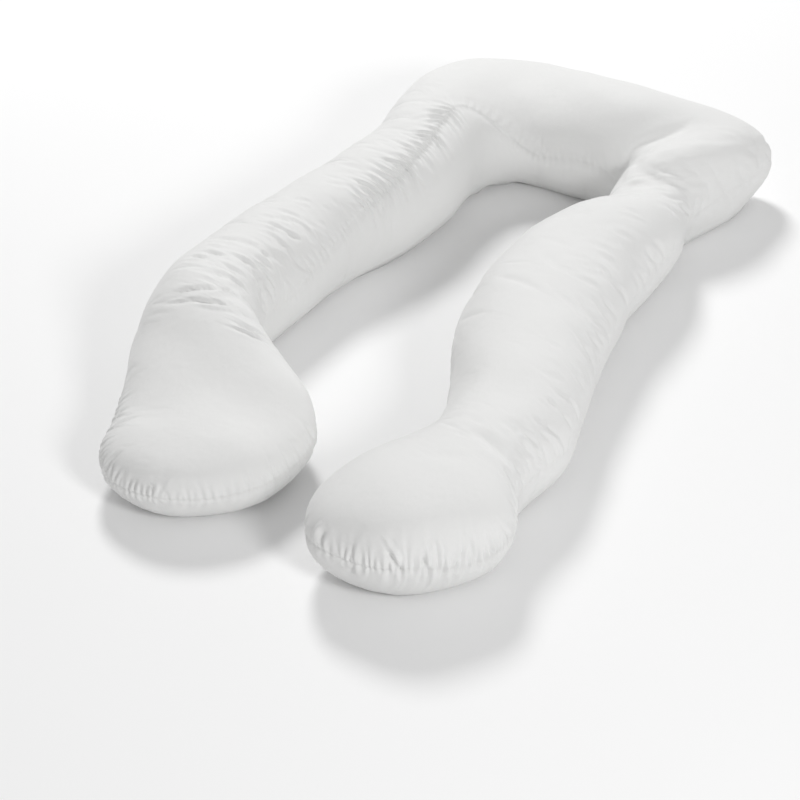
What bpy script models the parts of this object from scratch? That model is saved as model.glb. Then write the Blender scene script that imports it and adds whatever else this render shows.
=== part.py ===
"""A U-shaped body pillow, filled and lying on its back on a flat surface.

Units are metres, +Z is up and +Y points to the head end. Two like panels of cotton meet in one seam
that runs round the pillow at about half its height. The pillow is followed section by section, from the
end of the left arm round the head to the end of the right arm. A section runs from the seam on the
inside of the U to the seam on the outside, and each end closes in a rounded lobe.
"""

import math

import bpy
import numpy as np

NODE_NAME = "pillow"

# These sizes aren't set by hand: a least-squares fit to the pillow's outline in the photograph gave them,
# and 20 of the 105 were then changed, by up to 7 mm. The ends' lengths, leans and roundness come from it too.
# name of the section, the seam inside the U (x, y), the seam outside it (x, y), height of the crown
SECTIONS = (
    ("left lobe", 0.011, -0.450, -0.270, -0.514, 0.120),
    ("left knee", -0.013, -0.353, -0.321, -0.376, 0.158),
    ("left neck", -0.171, -0.235, -0.353, -0.244, 0.190),
    ("left hip", -0.179, -0.101, -0.361, -0.101, 0.175),
    ("left waist", -0.164, 0.037, -0.336, 0.047, 0.172),
    ("left back", -0.116, 0.179, -0.300, 0.195, 0.174),
    ("left shoulder", -0.093, 0.302, -0.278, 0.344, 0.180),
    ("left head side", -0.091, 0.392, -0.286, 0.491, 0.186),
    ("left head corner", -0.059, 0.437, -0.245, 0.630, 0.172),
    ("head, left of middle", 0.032, 0.454, 0.001, 0.654, 0.184),
    ("head, right of middle", 0.109, 0.445, 0.201, 0.645, 0.184),
    ("right head corner", 0.135, 0.427, 0.320, 0.651, 0.160),
    ("right head end", 0.142, 0.389, 0.317, 0.537, 0.162),
    ("right head side", 0.133, 0.323, 0.276, 0.428, 0.130),
    ("right shoulder", 0.106, 0.233, 0.290, 0.338, 0.162),
    ("right back", 0.075, 0.120, 0.291, 0.164, 0.178),
    ("right waist", 0.075, 0.000, 0.307, 0.011, 0.176),
    ("right hip", 0.107, -0.138, 0.334, -0.143, 0.172),
    ("right neck", 0.158, -0.261, 0.356, -0.281, 0.164),
    ("right knee", 0.167, -0.363, 0.342, -0.391, 0.166),
    ("right lobe", 0.115, -0.462, 0.364, -0.499, 0.168),
)
LEFT_END_LENGTH = 0.130
RIGHT_END_LENGTH = 0.168
LEFT_END_LEAN = math.radians(-11)
RIGHT_END_LEAN = math.radians(-14)
LEFT_END_ROUNDNESS = 1.0  # 1 closes an arm in half an ellipse, and less makes its end squarer
RIGHT_END_ROUNDNESS = 0.83
END_STEPS = 5

SEAM_SHARE = 0.47  # height of the seam, as a share of the crown's height
CROWN_FLATNESS = 2.3  # exponent of the crown's arch: 2 is an ellipse, more is flatter on top
BASE_SPREAD = 1.32  # the pillow's own weight presses its underside flat over the middle of a section
SEAM_DIP = 0.0025  # the stitched seam lies this far in from the swell of the panels

# Each fold is a soft trough. A place is counted in sections, so 2.25 lies a quarter of the way from the
# third section to the fourth, -1 is the tip of the left lobe and 21 the tip of the right one. Round is
# 0 at the inside seam, 1 at the outside seam over the top, and above 1 it goes on underneath. The places
# of folds that show were worked out by a separate script from points picked by eye on the photograph.
# name, place and round where it starts, place and round where it ends, half width, depth
FOLDS = (
    ("left knee crease", 1.30, 0.72, 1.90, 0.14, 0.016, 0.0080),
    ("left neck crease", 2.05, 0.66, 2.42, 0.06, 0.015, 0.0075),
    ("left neck long crease", 2.34, 0.80, 2.62, 0.10, 0.016, 0.0070),
    ("left hip crease", 2.75, 0.68, 3.02, 0.08, 0.015, 0.0075),
    ("left hip upper crease", 3.12, 0.62, 3.36, 0.06, 0.015, 0.0070),
    ("left waist crease", 3.62, 0.48, 3.74, 0.06, 0.015, 0.0060),
    ("left knee short crease", 1.18, 0.42, 1.28, 0.16, 0.013, 0.0050),
    ("left back crease", 4.56, 0.42, 4.90, 0.12, 0.014, 0.0060),
    ("left back upper crease", 5.01, 0.48, 5.40, 0.16, 0.014, 0.0060),
    ("left shoulder crease", 5.44, 0.52, 5.90, 0.18, 0.014, 0.0060),
    ("left shoulder long crease", 6.15, 0.72, 6.50, 0.22, 0.016, 0.0060),
    ("left end pucker 1", -0.52, 0.80, -0.50, 1.16, 0.013, 0.0050),
    ("left end pucker 2", -0.68, 0.68, -0.70, 1.20, 0.013, 0.0050),
    ("left end pucker 3", -0.74, 0.42, -0.90, 1.44, 0.013, 0.0050),
    ("left end pucker 4", -0.76, 0.28, -0.78, -0.24, 0.013, 0.0050),
    ("left end pucker 5", -0.52, 0.24, -0.50, -0.20, 0.013, 0.0050),
    ("right end pucker 1", 20.80, 0.52, 20.80, 1.34, 0.013, 0.0055),
    ("right end pucker 2", 20.60, 0.74, 20.53, 1.24, 0.015, 0.0080),
    ("right end pucker 3", 20.38, 0.76, 20.34, 1.22, 0.013, 0.0060),
    ("right end pucker 4", 20.16, 0.84, 20.10, 1.16, 0.013, 0.0050),
    ("right end pucker 5", 20.66, 0.24, 20.80, -0.16, 0.013, 0.0050),
    ("right end pucker 6", 20.40, 0.22, 20.44, -0.14, 0.013, 0.0045),
    ("right knee hollow", 19.20, 0.30, 19.75, 0.96, 0.040, 0.0100),
    ("right neck crease", 18.72, 0.70, 18.36, 1.02, 0.015, 0.0060),
    ("right neck upper crease", 18.28, 0.72, 17.86, 1.04, 0.014, 0.0060),
    ("right hip crease", 17.30, 0.66, 17.12, 1.00, 0.016, 0.0050),
    ("right waist crease", 16.24, 0.66, 16.24, 1.00, 0.017, 0.0050),
    ("right back crease", 15.66, 0.64, 15.77, 0.98, 0.017, 0.0050),
    ("right shoulder crease", 14.76, 0.78, 14.45, 1.08, 0.015, 0.0060),
    ("cheek crease", 13.66, 0.26, 13.52, 0.72, 0.016, 0.0060),
    ("head crease", 10.40, 0.34, 12.30, 0.56, 0.022, 0.0050),
    ("right head corner crease", 12.50, 0.78, 12.20, 1.10, 0.014, 0.0050),
)
SHOULDER_SHARE = 0.3  # the cloth pushed out of a trough rises beside it by this share of its depth
SHOULDER_PLACE = 1.7  # where that rise lies, in half widths from the trough's middle
SHOULDER_NARROWNESS = 2
FADING = 0.6  # exponent of the sine that a trough's depth follows along it: less holds the depth longer
FOLD_SAMPLES = 14
RESTING_HEIGHT = 1e-6  # lower points lie on the surface, and stay there

RING_COUNT = 150
PANEL_STEPS = 17  # steps across one panel, from seam to seam

COTTON_COLOUR = (0.80, 0.80, 0.79, 1.0)
COTTON_ROUGHNESS = 0.9


def smooth_rows(knots, rows, wanted):
    """Rows read at the wanted knots from a natural cubic spline through the given ones."""
    count = len(knots)
    gaps = np.diff(knots)
    system = np.eye(count)
    bends = np.zeros_like(rows)
    for i in range(1, count - 1):
        system[i, i - 1 : i + 2] = gaps[i - 1], 2 * (gaps[i - 1] + gaps[i]), gaps[i]
        rise_after = (rows[i + 1] - rows[i]) / gaps[i]
        rise_before = (rows[i] - rows[i - 1]) / gaps[i - 1]
        bends[i] = 6 * (rise_after - rise_before)
    bends = np.linalg.solve(system, bends)
    left = np.clip(np.searchsorted(knots, wanted) - 1, 0, count - 2)
    gap = gaps[left][:, None]
    past = (wanted - knots[left])[:, None]
    ahead = gap - past
    curved = (bends[left] * ahead**3 + bends[left + 1] * past**3) / (6 * gap)
    from_left = (rows[left] / gap - bends[left] * gap / 6) * ahead
    from_right = (rows[left + 1] / gap - bends[left + 1] * gap / 6) * past
    return curved + from_left + from_right


def end_sections(section, length, lean, roundness):
    """Sections that close an arm in a round lobe, from just past the given section to the tip."""
    inside, outside, crown = section[:2], section[2:4], section[4]
    middle = (inside + outside) / 2
    half = (outside - inside) / 2
    ahead = np.array([-half[1], half[0]]) / np.hypot(*half)
    if ahead[1] > 0:
        ahead = -ahead
    turn = np.array([[math.cos(lean), -math.sin(lean)], [math.sin(lean), math.cos(lean)]])
    ahead = turn @ ahead
    closing = []
    for angle in np.linspace(0, math.pi / 2, END_STEPS + 1)[1:]:
        centre = middle + ahead * length * math.sin(angle) ** roundness
        reach = half * math.cos(angle) ** roundness
        closing.append(np.array([*(centre - reach), *(centre + reach), crown]))
    return closing


def all_sections():
    """Sections at an even spacing, the angle that each has turned into its end, and its place."""
    rows = [np.array(section[1:]) for section in SECTIONS]
    left_end = end_sections(rows[0], LEFT_END_LENGTH, LEFT_END_LEAN, LEFT_END_ROUNDNESS)[::-1]
    right_end = end_sections(rows[-1], RIGHT_END_LENGTH, RIGHT_END_LEAN, RIGHT_END_ROUNDNESS)
    table = np.array(left_end + rows + right_end)
    middles = (table[:, :2] + table[:, 2:4]) / 2
    gaps = np.linalg.norm(np.diff(middles, axis=0), axis=1)
    gaps[:END_STEPS] = LEFT_END_LENGTH * math.pi / 2 / END_STEPS
    gaps[-END_STEPS:] = RIGHT_END_LENGTH * math.pi / 2 / END_STEPS
    knots = np.concatenate([[0], np.cumsum(gaps)])
    last = len(rows) - 1
    into_left = np.linspace(-1, 0, END_STEPS + 1)[:-1]
    into_right = np.linspace(last, last + 1, END_STEPS + 1)[1:]
    places = np.concatenate([into_left, np.arange(last + 1), into_right])
    angles = math.pi / 2 * np.maximum(0, np.maximum(-places, places - last))
    wanted = np.linspace(0, knots[-1], RING_COUNT)
    sections = smooth_rows(knots, table, wanted)
    return sections, np.interp(wanted, knots, angles), np.interp(wanted, knots, places)


def section_ring():
    """Steps round a section: how far across it each lies, -1 inside to 1 outside, and whether on top."""
    angles = np.linspace(0, math.pi, PANEL_STEPS + 1)
    upper = -np.cos(angles)
    lower = upper[1:-1][::-1]
    return np.concatenate([upper, lower]), np.arange(2 * PANEL_STEPS) <= PANEL_STEPS


def swell(sections, angles):
    """Points of the smooth pillow, as rings of sections by steps round each."""
    across, on_top = section_ring()
    inside, outside, crown = sections[:, :2], sections[:, 2:4], sections[:, 4]
    middle = (inside + outside) / 2
    half = (outside - inside) / 2
    plan = middle[:, None] + half[:, None] * across[None, :, None]
    seam = SEAM_SHARE * crown
    arch = np.sqrt(1 - np.abs(across) ** CROWN_FLATNESS)
    end_arch = np.sqrt(np.maximum(0, 1 - np.sin(angles) ** CROWN_FLATNESS))
    belly = np.sqrt(1 - np.minimum(1, across**2))
    top = seam[:, None] + (crown - seam)[:, None] * end_arch[:, None] * arch
    sunk = np.minimum(1, BASE_SPREAD * np.cos(angles)[:, None] * belly)
    bottom = seam[:, None] * (1 - sunk)
    height = np.where(on_top, top, bottom)
    return np.concatenate([plan, height[..., None]], axis=2)


def outward(points):
    """Unit normals of the rings of points."""
    along = np.gradient(points, axis=0)
    around = np.roll(points, -1, axis=1) - np.roll(points, 1, axis=1)
    normals = np.cross(along, around)
    return normals / np.linalg.norm(normals, axis=2, keepdims=True)


def surface_point(points, places, place, round_share):
    """A point of the pillow, read between its rings."""
    ring = np.interp(place, places, np.arange(len(places)))
    step = (round_share % 2) * PANEL_STEPS
    ring_below = min(int(ring), len(places) - 2)
    step_below = int(step)
    steps = 2 * PANEL_STEPS
    ring_part = ring - ring_below
    step_part = step - step_below
    pair = [
        points[ring_below + i, step_below % steps] * (1 - step_part)
        + points[ring_below + i, (step_below + 1) % steps] * step_part
        for i in (0, 1)
    ]
    return pair[0] * (1 - ring_part) + pair[1] * ring_part


def fold_depth(points, places, fold):
    """How far each point sinks into one fold, and rises beside it."""
    _, place_a, round_a, place_b, round_b, half_width, depth = fold
    shares = np.linspace(0, 1, FOLD_SAMPLES)
    line_places = place_a + (place_b - place_a) * shares
    line_rounds = round_a + (round_b - round_a) * shares
    line = np.array([surface_point(points, places, *at) for at in zip(line_places, line_rounds)])
    start, run = line[:-1], np.diff(line, axis=0)
    offset = points[:, :, None] - start
    share = np.clip((offset * run).sum(-1) / (run**2).sum(-1), 0, 1)
    distance = np.linalg.norm(offset - share[..., None] * run, axis=-1)
    nearest = distance.argmin(-1)
    gap = distance.min(-1)
    part = np.take_along_axis(share, nearest[..., None], -1)[..., 0]
    progress = (nearest + part) / (FOLD_SAMPLES - 1)
    fading = np.maximum(0, np.sin(math.pi * progress)) ** FADING
    aside = gap / half_width
    trough = np.exp(-(aside**2))
    shoulder = SHOULDER_SHARE * np.exp(-SHOULDER_NARROWNESS * (aside - SHOULDER_PLACE) ** 2)
    return depth * fading * (shoulder - trough)


def fold(points, places):
    """The pillow with its troughs pressed in, the seam drawn in and the base left flat."""
    change = sum(fold_depth(points, places, row) for row in FOLDS)
    change[:, [0, PANEL_STEPS]] -= SEAM_DIP
    resting = points[..., 2] < RESTING_HEIGHT
    change[resting] = 0
    folded = points + outward(points) * change[..., None]
    folded[..., 2] = np.maximum(folded[..., 2], 0)
    return folded


def pillow_points():
    """All points, ring after ring and then the two tips, with their box centred over the origin."""
    sections, angles, places = all_sections()
    rings = swell(sections, angles)
    tips = rings[[0, -1], 0]
    folded = fold(rings[1:-1], places[1:-1])
    points = np.concatenate([folded.reshape(-1, 3), tips])
    middle = (points.min(axis=0) + points.max(axis=0)) / 2
    return points - np.array([middle[0], middle[1], 0])


def pillow_faces():
    """Faces between neighbouring rings, and a fan round each tip."""
    rings, steps = RING_COUNT - 2, 2 * PANEL_STEPS
    first_tip, last_tip = rings * steps, rings * steps + 1
    last_ring = (rings - 1) * steps
    faces = []
    for step in range(steps):
        after = (step + 1) % steps
        for start in range(0, last_ring, steps):
            faces.append((start + step, start + step + steps, start + after + steps, start + after))
        faces.append((first_tip, step, after))
        faces.append((last_tip, last_ring + after, last_ring + step))
    return faces


def cotton():
    """The pillow's white plain-weave cotton."""
    material = bpy.data.materials.new("white_cotton")
    material.use_nodes = True
    shader = material.node_tree.nodes["Principled BSDF"]
    shader.inputs["Base Color"].default_value = COTTON_COLOUR
    shader.inputs["Roughness"].default_value = COTTON_ROUGHNESS
    shader.inputs["Metallic"].default_value = 0.0
    return material


def build_pillow():
    mesh = bpy.data.meshes.new(NODE_NAME)
    mesh.from_pydata(pillow_points().tolist(), [], pillow_faces())
    mesh.materials.append(cotton())
    mesh.shade_smooth()
    pillow = bpy.data.objects.new(NODE_NAME, mesh)
    bpy.context.scene.collection.objects.link(pillow)
    return pillow


def clear_scene():
    for obj in list(bpy.data.objects):
        bpy.data.objects.remove(obj, do_unlink=True)


clear_scene()
build_pillow()
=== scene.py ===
"""Looks of the U-shaped body pillow: two panels of white cotton, gathered into one seam and filled.

The cloth is one closed mesh on a grid. A ring of the grid is a section across the pillow, and the rings
run from the tip of the left arm round the head to the tip of the right arm. A step round a ring starts at
the seam inside the U, goes over the top to the seam outside it, and comes back underneath.

Places on the cloth are given as on the pillow's solid. A place is counted in sections along the pillow, so
2.25 lies a quarter of the way from the third section to the fourth, -1 is the tip of the left arm and 21
the tip of the right one. Round is 0 at half height inside the U, 1 at half height outside it, over the
top, and from 1 to 2 underneath. Units are metres.
"""

import math

import bpy
import numpy as np
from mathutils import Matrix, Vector, kdtree


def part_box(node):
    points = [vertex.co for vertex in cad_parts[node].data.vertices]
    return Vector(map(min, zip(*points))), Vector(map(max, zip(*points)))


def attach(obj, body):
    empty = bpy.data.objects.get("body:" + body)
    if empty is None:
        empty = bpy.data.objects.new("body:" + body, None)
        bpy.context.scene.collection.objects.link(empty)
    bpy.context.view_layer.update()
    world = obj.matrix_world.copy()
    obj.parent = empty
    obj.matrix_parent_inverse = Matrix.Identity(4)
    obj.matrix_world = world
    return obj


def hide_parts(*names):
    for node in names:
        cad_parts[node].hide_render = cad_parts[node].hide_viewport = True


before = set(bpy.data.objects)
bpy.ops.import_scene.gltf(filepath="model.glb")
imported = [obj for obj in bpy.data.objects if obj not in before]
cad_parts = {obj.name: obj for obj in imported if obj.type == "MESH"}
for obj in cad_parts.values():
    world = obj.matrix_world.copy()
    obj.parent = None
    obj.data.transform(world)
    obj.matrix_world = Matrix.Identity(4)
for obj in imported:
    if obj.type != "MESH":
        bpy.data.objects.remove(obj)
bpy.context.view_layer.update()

NODE_NAME = "pillow"
PIECE_NAME = "pillow_cotton"

# The same sections as the solid's. These sizes aren't set by hand: a least-squares fit to the pillow's
# outline in the photograph gave them, and 20 of the 105 were then changed, by up to 7 mm. The ends'
# lengths, leans and roundness come from it too.
# name of the section, the seam inside the U (x, y), the seam outside it (x, y), height of the crown
SECTIONS = (
    ("left lobe", 0.011, -0.450, -0.270, -0.514, 0.120),
    ("left knee", -0.013, -0.353, -0.321, -0.376, 0.158),
    ("left neck", -0.171, -0.235, -0.353, -0.244, 0.190),
    ("left hip", -0.179, -0.101, -0.361, -0.101, 0.175),
    ("left waist", -0.164, 0.037, -0.336, 0.047, 0.172),
    ("left back", -0.116, 0.179, -0.300, 0.195, 0.174),
    ("left shoulder", -0.093, 0.302, -0.278, 0.344, 0.180),
    ("left head side", -0.091, 0.392, -0.286, 0.491, 0.186),
    ("left head corner", -0.059, 0.437, -0.245, 0.630, 0.172),
    ("head, left of middle", 0.032, 0.454, 0.001, 0.654, 0.184),
    ("head, right of middle", 0.109, 0.445, 0.201, 0.645, 0.184),
    ("right head corner", 0.135, 0.427, 0.320, 0.651, 0.160),
    ("right head end", 0.142, 0.389, 0.317, 0.537, 0.162),
    ("right head side", 0.133, 0.323, 0.276, 0.428, 0.130),
    ("right shoulder", 0.106, 0.233, 0.290, 0.338, 0.162),
    ("right back", 0.075, 0.120, 0.291, 0.164, 0.178),
    ("right waist", 0.075, 0.000, 0.307, 0.011, 0.176),
    ("right hip", 0.107, -0.138, 0.334, -0.143, 0.172),
    ("right neck", 0.158, -0.261, 0.356, -0.281, 0.164),
    ("right knee", 0.167, -0.363, 0.342, -0.391, 0.166),
    ("right lobe", 0.115, -0.462, 0.364, -0.499, 0.168),
)
LEFT_END_LENGTH = 0.130
RIGHT_END_LENGTH = 0.168
LEFT_END_LEAN = math.radians(-11)
RIGHT_END_LEAN = math.radians(-14)
LEFT_END_ROUNDNESS = 1.0  # 1 closes an arm in half an ellipse, and less makes its end squarer
RIGHT_END_ROUNDNESS = 0.83
END_STEPS = 5  # sections that close each end

SEAM_SHARE = 0.47  # height of the seam, as a share of the crown's height
CROWN_FLATNESS = 2.3  # exponent of the crown's arch: 2 is an ellipse, more is flatter on top
PANEL_WIDTH = 0.313  # about how far it is over the upper panel, from the seam inside the U to the one outside
BASE_SPREAD = 1.32  # above 1, the pillow's own weight presses its underside flat over a section's middle

# Where the pillow has rolled, its seam leaves half height.
# place, round of the seam inside the U, round of the seam outside it
SEAM_PATH = (
    (-1.0, 0.00, 1.00),
    (-0.5, 0.00, 1.04),
    (0.4, 0.00, 1.00),
    (2.9, 0.00, 1.00),
    (4.5, 0.21, 1.00),
    (5.4, 0.32, 1.00),
    (6.2, 0.36, 1.00),
    (6.8, 0.35, 1.00),
    (8.4, 0.00, 1.00),
    (19.7, 0.00, 1.00),
    (20.15, 0.00, 1.06),
    (20.5, 0.00, 1.00),
    (21.0, 0.00, 1.00),
)
SEAM_EASING = 31  # rings over which the bends of the seam's path are rounded

RINGS = 1490
UPPER_STEPS = 48  # steps of a ring over the upper panel
LOWER_STEPS = 18
UPPER_CROWDING = 0.45  # how far the steps of a panel crowd towards the seams
LOWER_CROWDING = 0.6
CROWDING_SAMPLES = 8  # for each ring, where the places of the rings are worked out
# place, how closely the rings lie there
RING_CROWDING = (
    (-1.0, 1.3),
    (1.3, 1.1),
    (3.4, 1.2),
    (4.2, 1.7),
    (6.6, 1.7),
    (7.5, 0.7),
    (17.0, 0.7),
    (19.3, 1.3),
    (21.0, 1.8),
)

# Main creases. Each runs through three points of the cloth and fades at its ends. The places of these
# points were worked out by a separate script from points picked by eye on the photograph. The widths and
# rises were chosen one by one, and many of them were then changed together by one factor.
# place and round three times, half width in mm, rise in mm: above 0 a fold stands up, below 0 it dips
CREASES = (
    # left knee
    (1.51, 0.68, 1.70, 0.50, 1.99, 0.17, 4.0, -4.5),
    (1.47, 0.69, 1.57, 0.52, 2.11, 0.14, 4.0, 3.6),
    (1.49, 0.60, 1.51, 0.46, 1.63, 0.33, 4.0, -3.4),
    (1.42, 0.54, 1.49, 0.43, 1.74, 0.22, 4.0, 2.2),
    (1.44, 0.42, 1.51, 0.34, 1.74, 0.20, 3.5, -2.5),
    (1.28, 0.42, 1.36, 0.34, 1.38, 0.26, 3.5, -3.4),
    (1.25, 0.38, 1.32, 0.32, 1.44, 0.23, 3.0, 2.2),
    (1.22, 0.38, 1.28, 0.31, 1.31, 0.25, 3.0, -2.2),
    # left neck
    (2.32, 0.60, 2.37, 0.51, 2.46, 0.39, 4.0, -3.1),
    (2.50, 0.44, 2.56, 0.36, 2.65, 0.17, 4.0, 3.4),
    (2.60, 0.34, 2.65, 0.23, 2.67, 0.08, 3.5, -3.6),
    (2.25, 0.43, 2.27, 0.34, 2.32, 0.25, 4.0, -3.4),
    (2.06, 0.48, 2.11, 0.38, 2.15, 0.30, 4.0, 2.5),
    (2.02, 0.36, 2.11, 0.29, 2.16, 0.21, 3.5, -2.8),
    (2.74, 0.64, 2.79, 0.49, 2.86, 0.36, 6.0, -2.5),
    (2.56, 0.61, 2.58, 0.53, 2.61, 0.46, 4.0, 2.2),
    # left hip
    (3.25, 0.48, 3.30, 0.39, 3.34, 0.28, 4.0, -3.1),
    (3.20, 0.42, 3.26, 0.36, 3.30, 0.28, 3.5, 2.5),
    (3.02, 0.38, 3.12, 0.31, 3.18, 0.24, 3.5, -3.1),
    (2.95, 0.35, 3.01, 0.30, 3.08, 0.23, 3.0, 2.5),
    (2.82, 0.32, 2.92, 0.28, 3.00, 0.23, 3.0, -2.8),
    (2.60, 0.20, 2.58, 0.13, 2.60, 0.04, 3.5, -3.1),
    # crown of the left neck
    (1.97, 0.70, 2.01, 0.58, 2.02, 0.46, 5.0, -2.2),
    (1.90, 0.53, 1.99, 0.42, 2.04, 0.34, 4.5, -2.0),
    # outside of the right arm, from the shoulder to the waist
    (15.47, 0.72, 15.55, 0.80, 15.56, 0.87, 6.0, -2.1),
    (15.98, 0.74, 16.02, 0.82, 15.98, 0.91, 6.0, -2.4),
    (15.82, 0.75, 15.86, 0.84, 15.74, 0.95, 5.5, -2.2),
    (15.54, 0.80, 15.47, 0.90, 15.38, 1.00, 5.5, -2.1),
    (16.16, 0.71, 16.24, 0.79, 16.20, 0.90, 6.5, -2.1),
    (16.50, 0.77, 16.44, 0.88, 16.33, 0.95, 6.0, -2.1),
    (14.65, 0.82, 14.56, 0.91, 14.50, 1.00, 5.0, -2.8),
    (16.78, 0.76, 16.75, 0.86, 16.60, 0.96, 6.0, -2.0),
    (15.04, 0.85, 14.97, 0.94, 14.84, 1.05, 6.0, -2.0),
    # right neck
    (18.19, 0.78, 18.11, 0.83, 18.03, 0.88, 4.0, -3.1),
    (18.31, 0.79, 18.23, 0.84, 18.13, 0.90, 4.0, -2.5),
    (18.60, 0.72, 18.51, 0.79, 18.42, 0.86, 4.0, -2.8),
    (18.67, 0.71, 18.57, 0.81, 18.50, 0.95, 5.0, 2.5),
    (18.27, 0.77, 18.11, 0.88, 17.98, 1.00, 5.0, 2.8),
    (18.40, 0.84, 18.36, 0.92, 18.34, 1.00, 4.5, -2.2),
    # valley at the right knee
    (19.19, 0.54, 19.12, 0.67, 19.19, 0.82, 13.0, -6.0),
    # right lobe
    (20.59, 0.72, 20.60, 0.86, 20.60, 0.99, 4.0, 3.9),
    (20.64, 0.80, 20.61, 0.94, 20.56, 1.16, 4.0, -4.2),
    (20.40, 0.84, 20.42, 0.94, 20.41, 1.01, 3.5, 2.8),
    (20.33, 0.84, 20.36, 0.93, 20.37, 1.05, 4.0, -3.4),
    (20.46, 0.90, 20.43, 1.02, 20.40, 1.15, 3.5, -3.4),
    (20.31, 0.92, 20.31, 1.03, 20.27, 1.16, 3.5, 2.8),
    (20.17, 0.90, 20.16, 1.00, 20.13, 1.08, 4.5, -2.8),
    (20.69, 0.32, 20.76, 0.22, 20.84, 0.02, 4.0, 3.1),
    (20.74, 0.36, 20.82, 0.26, 20.90, 0.06, 4.0, -3.1),
    # head
    (10.40, 0.08, 12.25, 0.33, 12.66, 0.56, 9.0, -1.7),
    (10.68, 0.04, 12.46, 0.31, 12.57, 0.44, 8.0, 2.0),
    (12.30, 0.41, 12.57, 0.53, 12.63, 0.63, 5.5, -3.1),
    (10.50, 0.20, 10.86, 0.38, 10.64, 0.52, 10.0, -3.6),
    (10.30, 0.63, 11.04, 0.49, 12.16, 0.62, 14.0, 1.4),
    (11.99, 0.84, 11.99, 0.94, 11.86, 1.04, 7.0, -3.1),
    (10.86, 0.70, 11.17, 0.74, 11.38, 0.80, 6.0, -2.0),
    (12.34, 0.90, 12.25, 1.00, 12.08, 1.12, 6.0, -2.8),
    # left lobe
    (0.16, 0.80, 0.12, 0.87, 0.10, 0.95, 3.5, -3.1),
    (-0.03, 0.72, -0.06, 0.78, -0.10, 0.87, 3.5, -2.8),
)
# Finer creases between the main ones, drawn by a seeded random choice within these sizes.
# place from, to, round from, to, how many, lean and its spread in degrees, length in mm, half width in mm,
# rise in mm. A lean of 0 runs straight across the pillow, and above 0 the crease runs on to higher places
# as it nears the inside of the U.
CREASE_ZONES = (
    (1.20, 1.60, 0.18, 0.44, 12, 34, 14, 30, 3.2, -2.1),
    (1.50, 2.20, 0.15, 0.60, 26, 28, 12, 40, 3.6, -2.4),
    (2.10, 2.90, 0.04, 0.60, 34, 16, 14, 38, 3.6, -2.5),
    (2.80, 3.60, 0.10, 0.50, 26, 20, 14, 34, 3.6, -2.1),
    (3.50, 4.60, 0.10, 0.48, 22, 14, 12, 34, 4.0, -1.5),
    (1.30, 4.20, 0.50, 0.80, 16, 22, 16, 50, 6.5, -1.0),
    (4.60, 6.80, 0.42, 0.72, 26, 8, 12, 60, 6.0, -1.1),
    (10.20, 12.60, 0.10, 0.60, 22, 55, 35, 60, 6.0, -1.4),
    (11.00, 13.00, 0.62, 0.98, 24, 5, 30, 45, 5.0, -1.5),
    (12.60, 14.20, 0.15, 0.85, 26, 10, 24, 50, 4.5, -2.2),
    (14.30, 17.20, 0.62, 0.98, 30, 18, 16, 48, 5.5, -1.5),
    (14.00, 17.20, 0.10, 0.55, 22, 0, 30, 55, 6.5, -1.1),
    (17.40, 19.40, 0.68, 0.98, 34, 28, 18, 26, 3.6, -2.0),
    (18.40, 19.90, 0.30, 0.75, 16, 40, 30, 40, 6.0, -1.4),
    (-0.70, 0.60, 0.15, 0.90, 8, 60, 40, 36, 6.0, -0.6),
    (0.20, 1.40, 0.60, 0.95, 8, 10, 30, 32, 5.5, -0.7),
    (14.40, 17.60, 0.62, 0.98, 30, 22, 10, 40, 4.2, -1.7),
)
# how a finer crease is drawn
CREASE_ZONE_SEED = 3
CREASE_HALF_LENGTHS = (0.3, 0.8)  # a crease's half length is between these shares of its zone's length
CREASE_BOW = 0.12  # how far creases bow sideways, as a share of their half length
CREASE_SIZES = (0.4, 1.3)  # a crease's rise is between these shares of its zone's
CREASE_WIDTH = 0.6  # least half width, as a share of the zone's
CREASE_WIDTH_GAIN = 0.5  # share that it gains with the crease's size
PLACE_STEP = 0.1  # how far each way a section's length is measured, in sections

# the form of every crease
CREASE_SAMPLES = 15  # points along it
CREASE_FLANK = 0.30  # the cloth beside a crease moves the other way by this share of it
FLANK_PLACE = 1.9  # where that happens, in half widths
FLANK_END = 2  # half widths from there to where a crease no longer moves the cloth
CREASE_SHARPNESS = 1.6  # exponent of its profile: 2 is a smooth bell, and less has a sharper bottom
CREASE_FADING = 0.8  # exponent of the sine that its height follows along it
CREASE_TIP_WIDTH = 0.4  # width at the ends of a crease, as a share of the width in its middle

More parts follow.
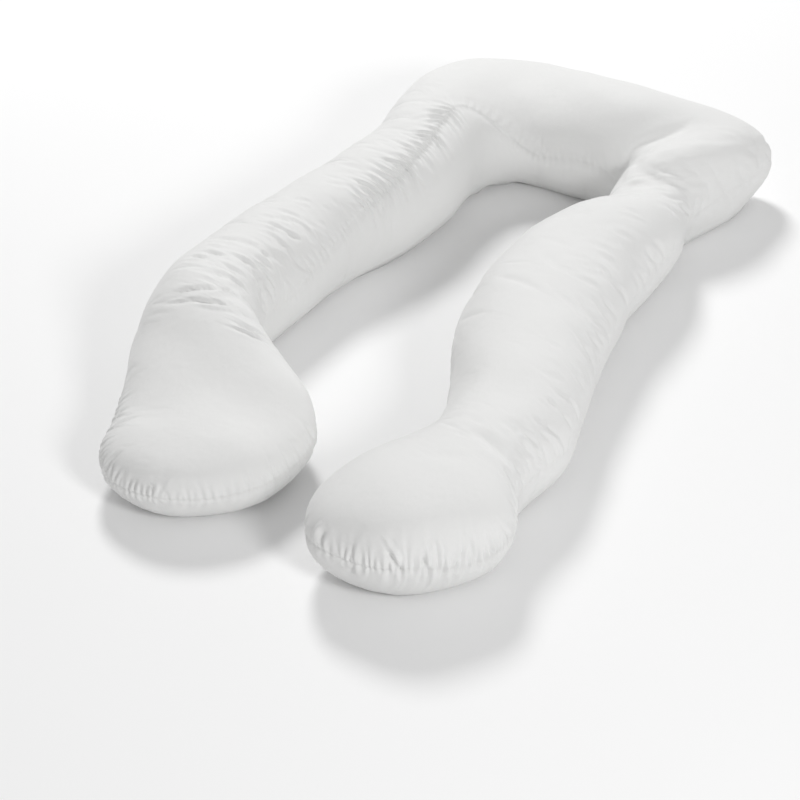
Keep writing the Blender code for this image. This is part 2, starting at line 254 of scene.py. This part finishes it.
# Gathers along the seam, drawn by a seeded random choice within these sizes.
# side of the U, place where they start and end, pitch in mm, length in mm, depth in mm, lean as a slope
GATHERS = (
    ("outside", -1.00, 0.60, 8.5, 76, 4.2, 0.15),
    ("outside", 0.60, 2.80, 13.0, 22, 0.6, 0.10),
    ("outside", 2.80, 7.00, 15.0, 18, 0.4, 0.00),
    ("outside", 7.00, 9.00, 13.0, 32, 0.9, 0.00),
    ("outside", 9.00, 10.40, 14.0, 24, 0.6, 0.00),
    ("outside", 10.40, 12.00, 10.0, 34, 0.8, 0.00),
    ("outside", 12.00, 14.40, 11.0, 42, 1.0, 0.10),
    ("outside", 14.40, 17.40, 15.0, 55, 0.5, 0.45),
    ("outside", 17.40, 19.20, 9.5, 24, 1.0, 0.30),
    ("outside", 19.20, 21.00, 9.0, 78, 4.6, -0.05),
    ("inside", -1.00, 0.60, 9.5, 56, 3.0, 0.00),
    ("inside", 0.60, 3.20, 9.5, 34, 1.5, -0.10),
    ("inside", 3.20, 4.40, 10.0, 42, 2.6, -0.15),
    ("inside", 4.40, 6.80, 8.5, 62, 8.6, -0.25),
    ("inside", 6.80, 8.80, 11.0, 40, 1.5, 0.00),
    ("inside", 8.80, 10.40, 12.0, 30, 1.0, 0.00),
    ("inside", 10.40, 13.20, 9.5, 45, 1.6, 0.00),
    ("inside", 13.20, 17.00, 14.0, 26, 0.7, 0.00),
    ("inside", 17.00, 19.40, 10.0, 38, 1.5, 0.00),
    ("inside", 19.40, 21.00, 9.5, 56, 3.2, 0.00),
)
GATHER_SEED = 11
FIRST_GATHER = (0.2, 0.8)  # how far into its stretch the first gather lies, in pitches
GATHER_GAPS = (0.65, 1.4)  # and how far each lies from the one before, in pitches
# the least share of the size given above, and how much chance adds to it at most
GATHER_LENGTHS = (0.5, 0.7)
GATHER_HALF_WIDTHS = (0.24, 0.16)  # shares of the pitch
GATHER_DEPTHS = (0.35, 1.1)
DEEP_GATHER_RARITY = 1.5  # exponent of that chance for the depth: above 1, deep gathers are rarer
GATHER_LEAN_SPREAD = 0.1
GATHER_BOW_SPREAD = 3.0  # how strongly they curve, per metre
GATHER_NEIGHBOURS = 6  # gathers on each side that reach a point
LOWER_GATHER_SHARE = 0.7  # length of a gather on the lower panel, as a share of that on the upper one
GATHER_FADING = 2.0  # exponent with which a gather fades away from the seam
GATHER_WIDTH = 0.8  # width at the seam, as a share of the drawn one
GATHER_WIDTH_GAIN = 0.8  # share that it gains by the gather's far end
GATHER_SHARPNESS = 1.5  # exponent of its profile, as for a crease
GATHER_FLANK = 0.4  # the cloth beside a gather rises by this share of its depth
GATHER_FLANK_PLACE = 2  # where it rises most, in half widths
GATHER_AT_SEAM = 0.45  # depth right at the seam, as a share of the depth just beside it
GATHER_RISE = 0.010  # how far from the seam a gather is deepest
TIP_REACH = 0.012  # gathers are calmed about this near to the two tips of the grid

# the groove in which the stitches lie
SEAM_DEPTH = 0.0022
SEAM_HALF_WIDTH = 0.0028

# lumps of the filling
LUMP_SEED = 5
LUMP_WAVES = 14
LUMP_HEIGHT = 0.0011
LUMP_SPACING = (0.07, 0.20)  # least and most from crest to crest

# How the cloth settles on its filling. Mass, stiffness and pressure are the simulation's own measures.
SETTLE_FRAMES = 8
SETTLE_QUALITY = 4
SETTLE_MASS = 0.01  # of one corner of the mesh
SETTLE_STIFFNESS = 15
SETTLE_SHEAR = SETTLE_STIFFNESS / 3
SETTLE_BENDING = 0.02
SETTLE_PRESSURE = 1.0
SETTLE_SLACK_AT_SEAM = 0.03  # the cloth is gathered there, so it has this share of spare length
SETTLE_SLACK_ABOVE = 0.005  # spare share away from the seam
SETTLE_SLACK_REACH = 0.045  # how far from the seam the slack reaches
SETTLE_HOLD = 0.02  # how firmly the cloth keeps its drawn shape: 1 holds it still
SETTLE_SEAM_HOLD = 0.6  # and how firmly at the seam
SETTLE_CAP = 0.006  # no corner moves further than this

# the cotton
COTTON_ROUGHNESS = 0.92
COTTON_SHEEN = 0.12
COTTON_SHEEN_ROUGHNESS = 0.5
COTTON_SPECULAR = 0.25
THREAD_PITCH = 0.0005
THREAD_HEIGHT = THREAD_PITCH / 4
THREAD_BUMP = 0.35  # strength of that relief
SLUB_NOISE = (75, 4)  # scale and detail of the slubs, where the cloth is thicker
SLUB_HEIGHT = 0.0012
SLUB_BUMP = 0.5
PATCH_NOISE = (9, 3)  # scale and detail of the patches in which the white is uneven
COTTON_WHITE = (0.85, 0.85, 0.84)
COTTON_SHADE = (0.79, 0.79, 0.785)
MEAN_TONE = 0.6  # from 0, all shade, to 1, all white
WEAVE_SHADE_SWING = 0.1  # painted shade of the weave: the tone swings by this much, darker where its relief is low and lighter where it is high
PATCH_TONE = 0.03  # and from patch to patch

# The camera's view was settled together with the fit of the sections.
CAMERA_AZIMUTH = math.radians(27)
CAMERA_ELEVATION = math.radians(36)
CAMERA_DISTANCE = 4.134
CAMERA_AIM = (0.0363, -0.1717)  # in the table's own coordinates
CAMERA_LENS_MM = 121.5
CAMERA_SENSOR_MM = 36.0
CAMERA_REACH = 50  # the camera sees nothing beyond this

FLOOR_REACH = 12
FLOOR_DROP = 0.0003  # below the pillow's underside
FLOOR_COLOUR = (0.92, 0.92, 0.92, 1)
FLOOR_ROUGHNESS = 0.9

# The light started from a fit to the photograph's brightness and was then changed.
WORLD_COLOUR = (1, 1, 1, 1)
WORLD_STRENGTH = 0.46
LIGHT_AIM = (0, 0, 0.05)
# name, place, diameter, power in watts
LIGHTS = (
    ("key", (-2.3, 2.95, 3.75), 1.3, 152),
    ("fill", (3.2, -2.1, 2.4), 1.1, 64),
)

MM = 0.001
RESTING = 1e-5  # points this low lie on the floor


def smooth_rows(knots, rows, wanted):
    """Rows read at the wanted knots from a natural cubic spline through the given ones."""
    count = len(knots)
    gaps = np.diff(knots)
    system = np.eye(count)
    bends = np.zeros_like(rows)
    for i in range(1, count - 1):
        system[i, i - 1 : i + 2] = gaps[i - 1], 2 * (gaps[i - 1] + gaps[i]), gaps[i]
        rise_after = (rows[i + 1] - rows[i]) / gaps[i]
        rise_before = (rows[i] - rows[i - 1]) / gaps[i - 1]
        bends[i] = 6 * (rise_after - rise_before)
    bends = np.linalg.solve(system, bends)
    left = np.clip(np.searchsorted(knots, wanted) - 1, 0, count - 2)
    gap = gaps[left][:, None]
    past = (wanted - knots[left])[:, None]
    ahead = gap - past
    curved = (bends[left] * ahead**3 + bends[left + 1] * past**3) / (6 * gap)
    from_left = (rows[left] / gap - bends[left] * gap / 6) * ahead
    from_right = (rows[left + 1] / gap - bends[left + 1] * gap / 6) * past
    return curved + from_left + from_right


def end_sections(section, length, lean, roundness):
    """Sections that close an arm in a round lobe, from just past the given section to the tip."""
    inside, outside, crown = section[:2], section[2:4], section[4]
    middle = (inside + outside) / 2
    half = (outside - inside) / 2
    ahead = np.array([-half[1], half[0]]) / np.hypot(*half)
    if ahead[1] > 0:  # both arms end away from the head
        ahead = -ahead
    turn = np.array([[math.cos(lean), -math.sin(lean)], [math.sin(lean), math.cos(lean)]])
    ahead = turn @ ahead
    closing = []
    for angle in np.linspace(0, math.pi / 2, END_STEPS + 1)[1:]:
        centre = middle + ahead * length * math.sin(angle) ** roundness
        reach = half * math.cos(angle) ** roundness
        closing.append(np.array([*(centre - reach), *(centre + reach), crown]))
    return closing


class Sections:
    """The table's sections with those of the two ends, and how they follow each other along the pillow."""

    def __init__(self):
        rows = [np.array(section[1:]) for section in SECTIONS]
        left_end = end_sections(rows[0], LEFT_END_LENGTH, LEFT_END_LEAN, LEFT_END_ROUNDNESS)[::-1]
        right_end = end_sections(rows[-1], RIGHT_END_LENGTH, RIGHT_END_LEAN, RIGHT_END_ROUNDNESS)
        self.table = np.array(left_end + rows + right_end)
        middles = (self.table[:, :2] + self.table[:, 2:4]) / 2
        gaps = np.linalg.norm(np.diff(middles, axis=0), axis=1)
        gaps[:END_STEPS] = LEFT_END_LENGTH * math.pi / 2 / END_STEPS
        gaps[-END_STEPS:] = RIGHT_END_LENGTH * math.pi / 2 / END_STEPS
        self.knots = np.concatenate([[0], np.cumsum(gaps)])
        last = len(rows) - 1
        into_left = np.linspace(-1, 0, END_STEPS + 1)[:-1]
        into_right = np.linspace(last, last + 1, END_STEPS + 1)[1:]
        self.places = np.concatenate([into_left, np.arange(last + 1), into_right])
        self.turns = math.pi / 2 * np.maximum(0, np.maximum(-self.places, self.places - last))

    def along(self, count):
        """Knots of the wanted number of rings, close together where RING_CROWDING says so."""
        even = np.linspace(0, self.knots[-1], CROWDING_SAMPLES * count)
        places, density = np.array(RING_CROWDING).T
        crowding = np.interp(np.interp(even, self.knots, self.places), places, density)
        reach = np.concatenate([[0], np.cumsum((crowding[1:] + crowding[:-1]) / 2)])
        return np.interp(np.linspace(0, reach[-1], count), reach, even)

    def knot_of(self, places):
        """Distance along the pillow of each place."""
        return np.interp(places, self.places, self.knots)

    def place_of(self, knots):
        """Place of each distance along the pillow."""
        return np.interp(knots, self.knots, self.places)

    def surface(self, knots, rounds):
        """Points of the smooth pillow, one row of rounds for each knot."""
        sections = smooth_rows(self.knots, self.table, knots)
        turns = np.interp(knots, self.knots, self.turns)[:, None]
        across = -np.cos(math.pi * rounds)
        inside, outside, crown = sections[:, :2], sections[:, 2:4], sections[:, 4:]
        middle = ((inside + outside) / 2)[:, None]
        half = ((outside - inside) / 2)[:, None]
        plan = middle + half * across[..., None]
        seam = SEAM_SHARE * crown
        arch = np.sqrt(np.maximum(0, 1 - np.abs(across) ** CROWN_FLATNESS))
        end_arch = np.sqrt(np.maximum(0, 1 - np.sin(turns) ** CROWN_FLATNESS))
        belly = np.sqrt(1 - np.minimum(1, across**2))
        top = seam + (crown - seam) * end_arch * arch
        bottom = seam * (1 - np.minimum(1, BASE_SPREAD * np.cos(turns) * belly))
        height = np.where(rounds % 2 <= 1, top, bottom)
        return np.concatenate([plan, height[..., None]], axis=2)


def crowd(count, crowding):
    """Shares from 0 towards 1, closer together near both ends."""
    even = np.arange(count) / count
    return even - crowding * np.sin(2 * math.pi * even) / (2 * math.pi)


def seam_rounds(places):
    """Round of the seam inside the U and of the seam outside it, at each place."""
    path = np.array(SEAM_PATH).T
    window = np.hanning(SEAM_EASING + 2)[1:-1]
    window /= window.sum()
    eased = []
    for column in path[1:]:
        line = np.interp(places, path[0], column)
        padded = np.pad(line, SEAM_EASING // 2, mode="edge")
        eased.append(np.convolve(padded, window, mode="valid"))
    return eased


def grid_rounds(places):
    """Round of every step of every ring. Step 0 and step UPPER_STEPS lie on the seam."""
    inside, outside = seam_rounds(places)
    upper = inside[:, None] + (outside - inside)[:, None] * crowd(UPPER_STEPS, UPPER_CROWDING)
    lower = outside[:, None] + (2 + inside - outside)[:, None] * crowd(LOWER_STEPS, LOWER_CROWDING)
    return np.concatenate([upper, lower], axis=1)


def outward(points):
    """Unit normals of the rings of points."""
    along = np.gradient(points, axis=0)
    around = np.roll(points, -1, axis=1) - np.roll(points, 1, axis=1)
    normals = np.cross(along, around)
    return normals / np.maximum(1e-12, np.linalg.norm(normals, axis=2, keepdims=True))


def lumps(points):
    """Broad unevenness of the filling: a sum of slow waves that run every way."""
    rng = np.random.default_rng(LUMP_SEED)
    total = np.zeros(points.shape[:2])
    for _ in range(LUMP_WAVES):
        direction = rng.normal(size=3)
        direction /= np.linalg.norm(direction)
        spacing = rng.uniform(*LUMP_SPACING)
        total += np.sin(points @ direction * 2 * math.pi / spacing + rng.uniform(0, 2 * math.pi))
    return LUMP_HEIGHT * total * math.sqrt(2 / LUMP_WAVES)


def crease_path(sections, crease):
    """Points of the smooth pillow under a crease: a curve through its three given points."""
    share = np.linspace(0, 1, CREASE_SAMPLES)[:, None]
    start, middle, end = np.array(crease[:6]).reshape(3, 2)
    curve = (1 - share) * (1 - 2 * share) * start + 4 * share * (1 - share) * middle
    curve += share * (2 * share - 1) * end
    return sections.surface(sections.knot_of(curve[:, 0]), curve[:, 1:])[:, 0]


def crease_rise(points, path, half_width, rise):
    """Where one crease reaches, and how far each point there moves out."""
    reach = half_width * (FLANK_PLACE + FLANK_END)
    close = np.all((points > path.min(axis=0) - reach) & (points < path.max(axis=0) + reach), axis=-1)
    offset = points[close][:, None] - path[:-1]
    run = np.diff(path, axis=0)
    share = np.clip((offset * run).sum(-1) / (run**2).sum(-1), 0, 1)
    distance = np.linalg.norm(offset - share[..., None] * run, axis=-1)
    nearest = distance.argmin(-1)
    part = np.take_along_axis(share, nearest[:, None], -1)[:, 0]
    progress = (nearest + part) / (CREASE_SAMPLES - 1)
    fading = np.maximum(0, np.sin(math.pi * progress)) ** CREASE_FADING
    taper = CREASE_TIP_WIDTH + (1 - CREASE_TIP_WIDTH) * fading
    aside = distance.min(-1) / (half_width * taper)
    shape = np.exp(-(aside**CREASE_SHARPNESS)) - CREASE_FLANK * np.exp(-((aside - FLANK_PLACE) ** 2))
    return close, rise * fading * shape


def draw_creases(sections):
    """The finer creases of CREASE_ZONES, in the form of the rows of CREASES."""
    rng = np.random.default_rng(CREASE_ZONE_SEED)
    rows = []
    for start, end, inner, outer, count, lean, spread, length, half_width, rise in CREASE_ZONES:
        for _ in range(count):
            place = rng.uniform(start, end)
            angle = math.radians(rng.normal(lean, spread))
            centre = np.array([place, rng.uniform(inner, outer)])
            before, after = sections.knot_of([place - PLACE_STEP, place + PLACE_STEP])
            scale = np.array([2 * PLACE_STEP / (after - before), 1 / PANEL_WIDTH]) * MM
            direction = np.array([math.sin(angle), -math.cos(angle)])
            half = length * rng.uniform(*CREASE_HALF_LENGTHS) * direction
            bow = rng.normal(0, CREASE_BOW) * np.array([half[1], -half[0]])
            size = rng.uniform(*CREASE_SIZES)
            width = half_width * (CREASE_WIDTH + CREASE_WIDTH_GAIN * size)
            points = np.concatenate([centre - half * scale, centre + bow * scale, centre + half * scale])
            rows.append((*points, width, rise * size))
    return rows


def creases(points, sections):
    """How far each point moves out for the creases."""
    total = np.zeros(points.shape[:2])
    for crease in [*CREASES, *draw_creases(sections)]:
        close, rise = crease_rise(points, crease_path(sections, crease), crease[6] * MM, crease[7] * MM)
        total[close] += rise
    return total


class Seam:
    """The closed line of the seam: down the inside of the U and back along its outside."""

    def __init__(self, points, knots):
        self.line = np.concatenate([points[:, 0], points[::-1, UPPER_STEPS]])
        steps = np.linalg.norm(np.roll(self.line, -1, axis=0) - self.line, axis=1)
        self.length = steps.sum()
        self.reach = np.concatenate([[0], np.cumsum(steps[:-1])])
        self.tangent = np.roll(self.line, -1, axis=0) - np.roll(self.line, 1, axis=0)
        self.tangent /= np.maximum(1e-9, np.linalg.norm(self.tangent, axis=1, keepdims=True))
        self.knots = knots

    def reach_at(self, side, knots):
        """How far along the seam each knot lies, on one side of the U."""
        count = len(self.knots)
        if side == "inside":
            return np.interp(knots, self.knots, self.reach[:count])
        return np.interp(knots, self.knots, self.reach[count:][::-1])

    def coordinates(self, points):
        """How far along the seam each point lies, and how far from it."""
        tree = kdtree.KDTree(len(self.line))
        for index, corner in enumerate(self.line):
            tree.insert(corner, index)
        tree.balance()
        flat = points.reshape(-1, 3)
        nearest = np.array([tree.find(corner)[1] for corner in flat.tolist()])
        offset = flat - self.line[nearest]
        along = (offset * self.tangent[nearest]).sum(axis=1)
        aside = np.linalg.norm(offset - along[:, None] * self.tangent[nearest], axis=1)
        shape = points.shape[:2]
        return (self.reach[nearest] + along).reshape(shape), aside.reshape(shape)


def vary(size, shares, chance):
    """A size between its least share and that share with all that chance can add."""
    least, more = shares
    return size * (least + more * chance)


def draw_gathers(sections, seam):
    """Rows of reach along the seam, length, half width, depth, lean and bow, in order of reach."""
    rng = np.random.default_rng(GATHER_SEED)
    rows = []
    for side, start, end, pitch, length, depth, lean in GATHERS:
        first, last = sorted(seam.reach_at(side, sections.knot_of([start, end])))
        at = first + pitch * MM * rng.uniform(*FIRST_GATHER)
        while at < last:
            sway = rng.uniform(0, 1, 3)
            rows.append((
                at,
                vary(length * MM, GATHER_LENGTHS, sway[0]),
                vary(pitch * MM, GATHER_HALF_WIDTHS, sway[1]),
                vary(depth * MM, GATHER_DEPTHS, sway[2] ** DEEP_GATHER_RARITY),
                lean + rng.normal(0, GATHER_LEAN_SPREAD),
                rng.normal(0, GATHER_BOW_SPREAD),
            ))
            at += pitch * MM * rng.uniform(*GATHER_GAPS)
    rows.sort()
    return np.array(rows).T


def near_tips(base):
    """1 at the grid's two tips, falling to 0 about three centimetres away from them."""
    away = np.minimum(*(np.linalg.norm(base - base[end, 0], axis=-1) for end in (0, -1)))
    return np.exp(-((away / TIP_REACH) ** 2))


def gathers(base, along, aside, sections, seam):
    """How far each point sinks into the gathers along the seam, and into the seam itself."""
    reach, length, half_width, depth, lean, bow = draw_gathers(sections, seam)
    share = np.ones(along.shape)
    share[:, UPPER_STEPS + 1 :] = LOWER_GATHER_SHARE
    nearest = np.searchsorted(reach, along)
    total = np.zeros_like(along)
    for neighbour in range(-GATHER_NEIGHBOURS, GATHER_NEIGHBOURS):
        pick = (nearest + neighbour) % len(reach)
        progress = aside / (length[pick] * share)
        offset = (along - reach[pick] + seam.length / 2) % seam.length - seam.length / 2
        offset = offset - lean[pick] * aside - bow[pick] * aside**2
        width = half_width[pick] * (GATHER_WIDTH + GATHER_WIDTH_GAIN * progress) / share
        beside = np.abs(offset) / width
        fading = np.clip(1 - progress, 0, 1) ** GATHER_FADING
        fading = fading * (GATHER_AT_SEAM + (1 - GATHER_AT_SEAM) * np.clip(aside / GATHER_RISE, 0, 1))
        flank = GATHER_FLANK * np.exp(-((beside - GATHER_FLANK_PLACE) ** 2))
        shape = np.exp(-(beside**GATHER_SHARPNESS)) - flank
        total -= depth[pick] * fading * shape
    groove = SEAM_DEPTH * np.exp(-((aside / SEAM_HALF_WIDTH) ** 2))
    return total * (1 - near_tips(base)) - groove


def add_object(name, data):
    """A new object in the scene."""
    thing = bpy.data.objects.new(name, data)
    bpy.context.scene.collection.objects.link(thing)
    return thing


def grid_mesh(name, points):
    """A closed mesh through the rings of points, with a fan round each tip."""
    rings, steps = points.shape[0] - 2, points.shape[1]
    first_tip, last_tip = rings * steps, rings * steps + 1
    corners = np.concatenate([points[1:-1].reshape(-1, 3), points[[0, -1], 0]])
    ring = np.arange(rings - 1)[:, None] * steps
    step = np.arange(steps)[None, :]
    after = (step + 1) % steps
    quads = np.stack([ring + step, ring + step + steps, ring + after + steps, ring + after], axis=-1)
    faces = quads.reshape(-1, 4).tolist()
    last_ring = (rings - 1) * steps
    for near in range(steps):
        far = (near + 1) % steps
        faces.append((first_tip, near, far))
        faces.append((last_tip, last_ring + far, last_ring + near))
    mesh = bpy.data.meshes.new(name)
    mesh.from_pydata(corners.tolist(), [], faces)
    mesh.shade_smooth()
    return mesh


def pillow_points():
    """The smooth grid, the creased one, how far each point is from the seam, and the knots and rounds."""
    sections = Sections()
    knots = sections.along(RINGS)
    rounds = grid_rounds(sections.place_of(knots))
    base = sections.surface(knots, rounds)
    seam = Seam(base, knots)
    along, aside = seam.coordinates(base)
    move = lumps(base) + creases(base, sections) + gathers(base, along, aside, sections, seam)
    move[base[..., 2] < RESTING] = 0
    points = base + outward(base) * move[..., None]
    points[..., 2] = np.maximum(points[..., 2], 0)
    points[[0, -1]] = points[[1, -2]].mean(axis=1, keepdims=True)
    return base, points, aside, knots, rounds


def corner_values(grid):
    """Values of the mesh's corners from those of the grid's rings and steps."""
    return np.concatenate([grid[1:-1].ravel(), grid[[0, -1], 0]])


def add_thread_map(mesh, knots, rounds):
    """UVs in metres: along the pillow and round it, as the threads of the cloth run."""
    whole_turn = 2 * PANEL_WIDTH
    along = corner_values(np.broadcast_to(knots[:, None], rounds.shape))
    turn = corner_values(rounds) * PANEL_WIDTH
    corners = np.empty(len(mesh.loops), dtype=np.int32)
    mesh.loops.foreach_get("vertex_index", corners)
    uvs = np.stack([along[corners], turn[corners]], axis=1)
    quad_count = (rounds.shape[0] - 3) * rounds.shape[1]
    quads = uvs[: 4 * quad_count].reshape(-1, 4, 2)
    # the last step of a ring ends a whole turn on, not back at its start
    closing = np.ptp(quads[..., 1], axis=1) > PANEL_WIDTH
    quads[closing, 2:, 1] += whole_turn
    mesh.uv_layers.new(name="threads").data.foreach_set("uv", uvs.astype(np.float32).ravel())


def add_group(pillow, name, values):
    """A vertex group with a weight for each corner of the mesh."""
    group = pillow.vertex_groups.new(name=name)
    for index, value in enumerate(values.tolist()):
        group.add([index], value, "REPLACE")
    return group.name


def corner_places(mesh):
    """Coordinates of the mesh's corners, one row for each."""
    places = np.empty(len(mesh.vertices) * 3)
    mesh.vertices.foreach_get("co", places)
    return places.reshape(-1, 3)


def add_cloth(pillow, held, slack):
    """Simulated cloth over the filling, by how firmly each point is held and how slack it is."""
    cloth = pillow.modifiers.new("cloth", "CLOTH")
    settings = cloth.settings
    settings.quality = SETTLE_QUALITY
    settings.mass = SETTLE_MASS
    settings.tension_stiffness = settings.compression_stiffness = SETTLE_STIFFNESS
    settings.shear_stiffness = SETTLE_SHEAR
    settings.bending_stiffness = SETTLE_BENDING
    settings.use_pressure = True
    settings.uniform_pressure_force = SETTLE_PRESSURE
    settings.vertex_group_shrink = add_group(pillow, "slack", corner_values(slack))
    settings.shrink_min = -SETTLE_SLACK_ABOVE
    settings.shrink_max = -SETTLE_SLACK_AT_SEAM
    settings.vertex_group_mass = add_group(pillow, "held", corner_values(held))
    settings.pin_stiffness = 1
    settings.effector_weights.gravity = 0
    cloth.collision_settings.use_collision = False
    cloth.point_cache.frame_start = 1
    cloth.point_cache.frame_end = SETTLE_FRAMES


def settle(pillow, base, aside):
    """Let the filling press the creased cloth out, held at its seam and where it rests, by simulation."""
    drawn = corner_places(pillow.data)
    held = np.full(base.shape[:2], SETTLE_HOLD)
    held[:, [0, UPPER_STEPS]] = SETTLE_SEAM_HOLD
    held[base[..., 2] < RESTING] = 1
    add_cloth(pillow, held, np.exp(-((aside / SETTLE_SLACK_REACH) ** 2)))
    for frame_number in range(1, SETTLE_FRAMES + 1):
        bpy.context.scene.frame_set(frame_number)
    solved = pillow.evaluated_get(bpy.context.evaluated_depsgraph_get())
    shift = corner_places(solved.data) - drawn
    pillow.modifiers.clear()
    bpy.context.scene.frame_set(1)
    pillow.vertex_groups.clear()
    far = np.linalg.norm(shift, axis=1, keepdims=True)
    settled = drawn + shift * np.minimum(1, SETTLE_CAP / np.maximum(far, 1e-9))
    settled[:, 2] = np.maximum(settled[:, 2], 0)
    pillow.data.vertices.foreach_set("co", settled.ravel())
    pillow.data.update()


def build_pillow():
    """The pillow where its solid lies, and how far the table's coordinates were moved for that."""
    base, points, aside, knots, rounds = pillow_points()
    low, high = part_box(NODE_NAME)
    middle = (base.min(axis=(0, 1)) + base.max(axis=(0, 1))) / 2
    shift = np.array([(low.x + high.x) / 2 - middle[0], (low.y + high.y) / 2 - middle[1], 0])
    pillow = add_object(PIECE_NAME, grid_mesh(PIECE_NAME, points + shift))
    add_thread_map(pillow.data, knots, rounds)
    settle(pillow, base, aside)
    return pillow, shift


def cotton():
    """White plain-weave cotton: fine crossing threads, faint slubs, a slightly uneven white, and painted
    shade that darkens the hollows of the weave.
    """
    material = bpy.data.materials.new("white_cotton")
    material.use_nodes = True
    nodes, links = material.node_tree.nodes, material.node_tree.links
    shader = nodes["Principled BSDF"]
    shader.inputs["Roughness"].default_value = COTTON_ROUGHNESS
    shader.inputs["Sheen Weight"].default_value = COTTON_SHEEN
    shader.inputs["Sheen Roughness"].default_value = COTTON_SHEEN_ROUGHNESS
    shader.inputs["Specular IOR Level"].default_value = COTTON_SPECULAR
    threads = nodes.new("ShaderNodeUVMap")
    threads.uv_map = "threads"

    def math_node(operation, first, second=None):
        """Output of a maths node on one or two sockets or numbers."""
        node = nodes.new("ShaderNodeMath")
        node.operation = operation
        for socket, value in zip(node.inputs, (first, second)):
            if isinstance(value, (int, float)):
                socket.default_value = value
            elif value is not None:
                links.new(value, socket)
        return node.outputs[0]

    def noise(coordinates, scale, detail):
        """Output of a noise texture at the given coordinates."""
        node = nodes.new("ShaderNodeTexNoise")
        node.inputs["Scale"].default_value = scale
        node.inputs["Detail"].default_value = detail
        links.new(coordinates, node.inputs["Vector"])
        return node.outputs["Fac"]

    def bump(height, strength, distance):
        """A bump node on the given height."""
        node = nodes.new("ShaderNodeBump")
        node.inputs["Strength"].default_value = strength
        node.inputs["Distance"].default_value = distance
        links.new(height, node.inputs["Height"])
        return node

    split = nodes.new("ShaderNodeSeparateXYZ")
    links.new(threads.outputs[0], split.inputs[0])
    turns = 2 * math.pi / THREAD_PITCH
    warp = math_node("SINE", math_node("MULTIPLY", split.outputs["X"], turns))
    weft = math_node("SINE", math_node("MULTIPLY", split.outputs["Y"], turns))
    weave = math_node("MULTIPLY", warp, weft)
    place = nodes.new("ShaderNodeTexCoord").outputs["Object"]
    weave_bump = bump(weave, THREAD_BUMP, THREAD_HEIGHT)
    slub_bump = bump(noise(place, *SLUB_NOISE), SLUB_BUMP, SLUB_HEIGHT)
    links.new(weave_bump.outputs["Normal"], slub_bump.inputs["Normal"])
    links.new(slub_bump.outputs["Normal"], shader.inputs["Normal"])
    tone = nodes.new("ShaderNodeMapRange")
    tone.inputs["To Min"].default_value = -PATCH_TONE
    tone.inputs["To Max"].default_value = PATCH_TONE
    links.new(noise(place, *PATCH_NOISE), tone.inputs["Value"])
    shade = nodes.new("ShaderNodeMix")
    shade.data_type = "RGBA"
    shade.inputs["A"].default_value = (*COTTON_SHADE, 1)
    shade.inputs["B"].default_value = (*COTTON_WHITE, 1)
    # painted shade: the weave's low relief gets the darker colour and its high relief the whiter one
    painted_weave_shade = math_node("ADD", math_node("MULTIPLY", weave, WEAVE_SHADE_SWING), MEAN_TONE)
    links.new(math_node("ADD", tone.outputs[0], painted_weave_shade), shade.inputs["Factor"])
    links.new(shade.outputs["Result"], shader.inputs["Base Color"])
    return material


def build_camera(shift):
    """A camera at the photograph's angle to the pillow."""
    data = bpy.data.cameras.new("camera")
    data.lens = CAMERA_LENS_MM
    data.sensor_width = CAMERA_SENSOR_MM
    data.clip_end = CAMERA_REACH
    camera = add_object("camera", data)
    back = Vector((
        math.sin(CAMERA_AZIMUTH) * math.cos(CAMERA_ELEVATION),
        -math.cos(CAMERA_AZIMUTH) * math.cos(CAMERA_ELEVATION),
        math.sin(CAMERA_ELEVATION),
    ))
    aim = Vector((CAMERA_AIM[0] + shift[0], CAMERA_AIM[1] + shift[1], 0))
    camera.location = aim + back * CAMERA_DISTANCE
    camera.rotation_euler = back.to_track_quat("Z", "Y").to_euler()
    bpy.context.scene.camera = camera


def build_floor():
    """A plain pale floor, just under the pillow."""
    mesh = bpy.data.meshes.new("floor")
    corners = [(-FLOOR_REACH, -FLOOR_REACH), (FLOOR_REACH, -FLOOR_REACH)]
    corners += [(FLOOR_REACH, FLOOR_REACH), (-FLOOR_REACH, FLOOR_REACH)]
    mesh.from_pydata([(*corner, -FLOOR_DROP) for corner in corners], [], [(0, 1, 2, 3)])
    material = bpy.data.materials.new("floor")
    material.use_nodes = True
    shader = material.node_tree.nodes["Principled BSDF"]
    shader.inputs["Base Color"].default_value = FLOOR_COLOUR
    shader.inputs["Roughness"].default_value = FLOOR_ROUGHNESS
    mesh.materials.append(material)
    floor = add_object("floor", mesh)


def area_light(name, place, size, power):
    """A round soft light that points at LIGHT_AIM."""
    data = bpy.data.lights.new(name, "AREA")
    data.shape = "DISK"
    data.size = size
    data.energy = power
    light = add_object(name, data)
    light.location = place
    light.rotation_euler = (Vector(place) - Vector(LIGHT_AIM)).to_track_quat("Z", "Y").to_euler()


def build_light():
    """Soft studio light: a white world, a large key and a weaker fill."""
    scene = bpy.context.scene
    world = bpy.data.worlds.new("world")
    world.use_nodes = True
    background = world.node_tree.nodes["Background"]
    background.inputs["Color"].default_value = WORLD_COLOUR
    background.inputs["Strength"].default_value = WORLD_STRENGTH
    scene.world = world
    for light in LIGHTS:
        area_light(*light)
    scene.view_settings.view_transform = "Standard"


pillow, shift = build_pillow()
pillow.data.materials.append(cotton())
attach(pillow, "root")
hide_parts(NODE_NAME)
build_camera(shift)
build_floor()
build_light()
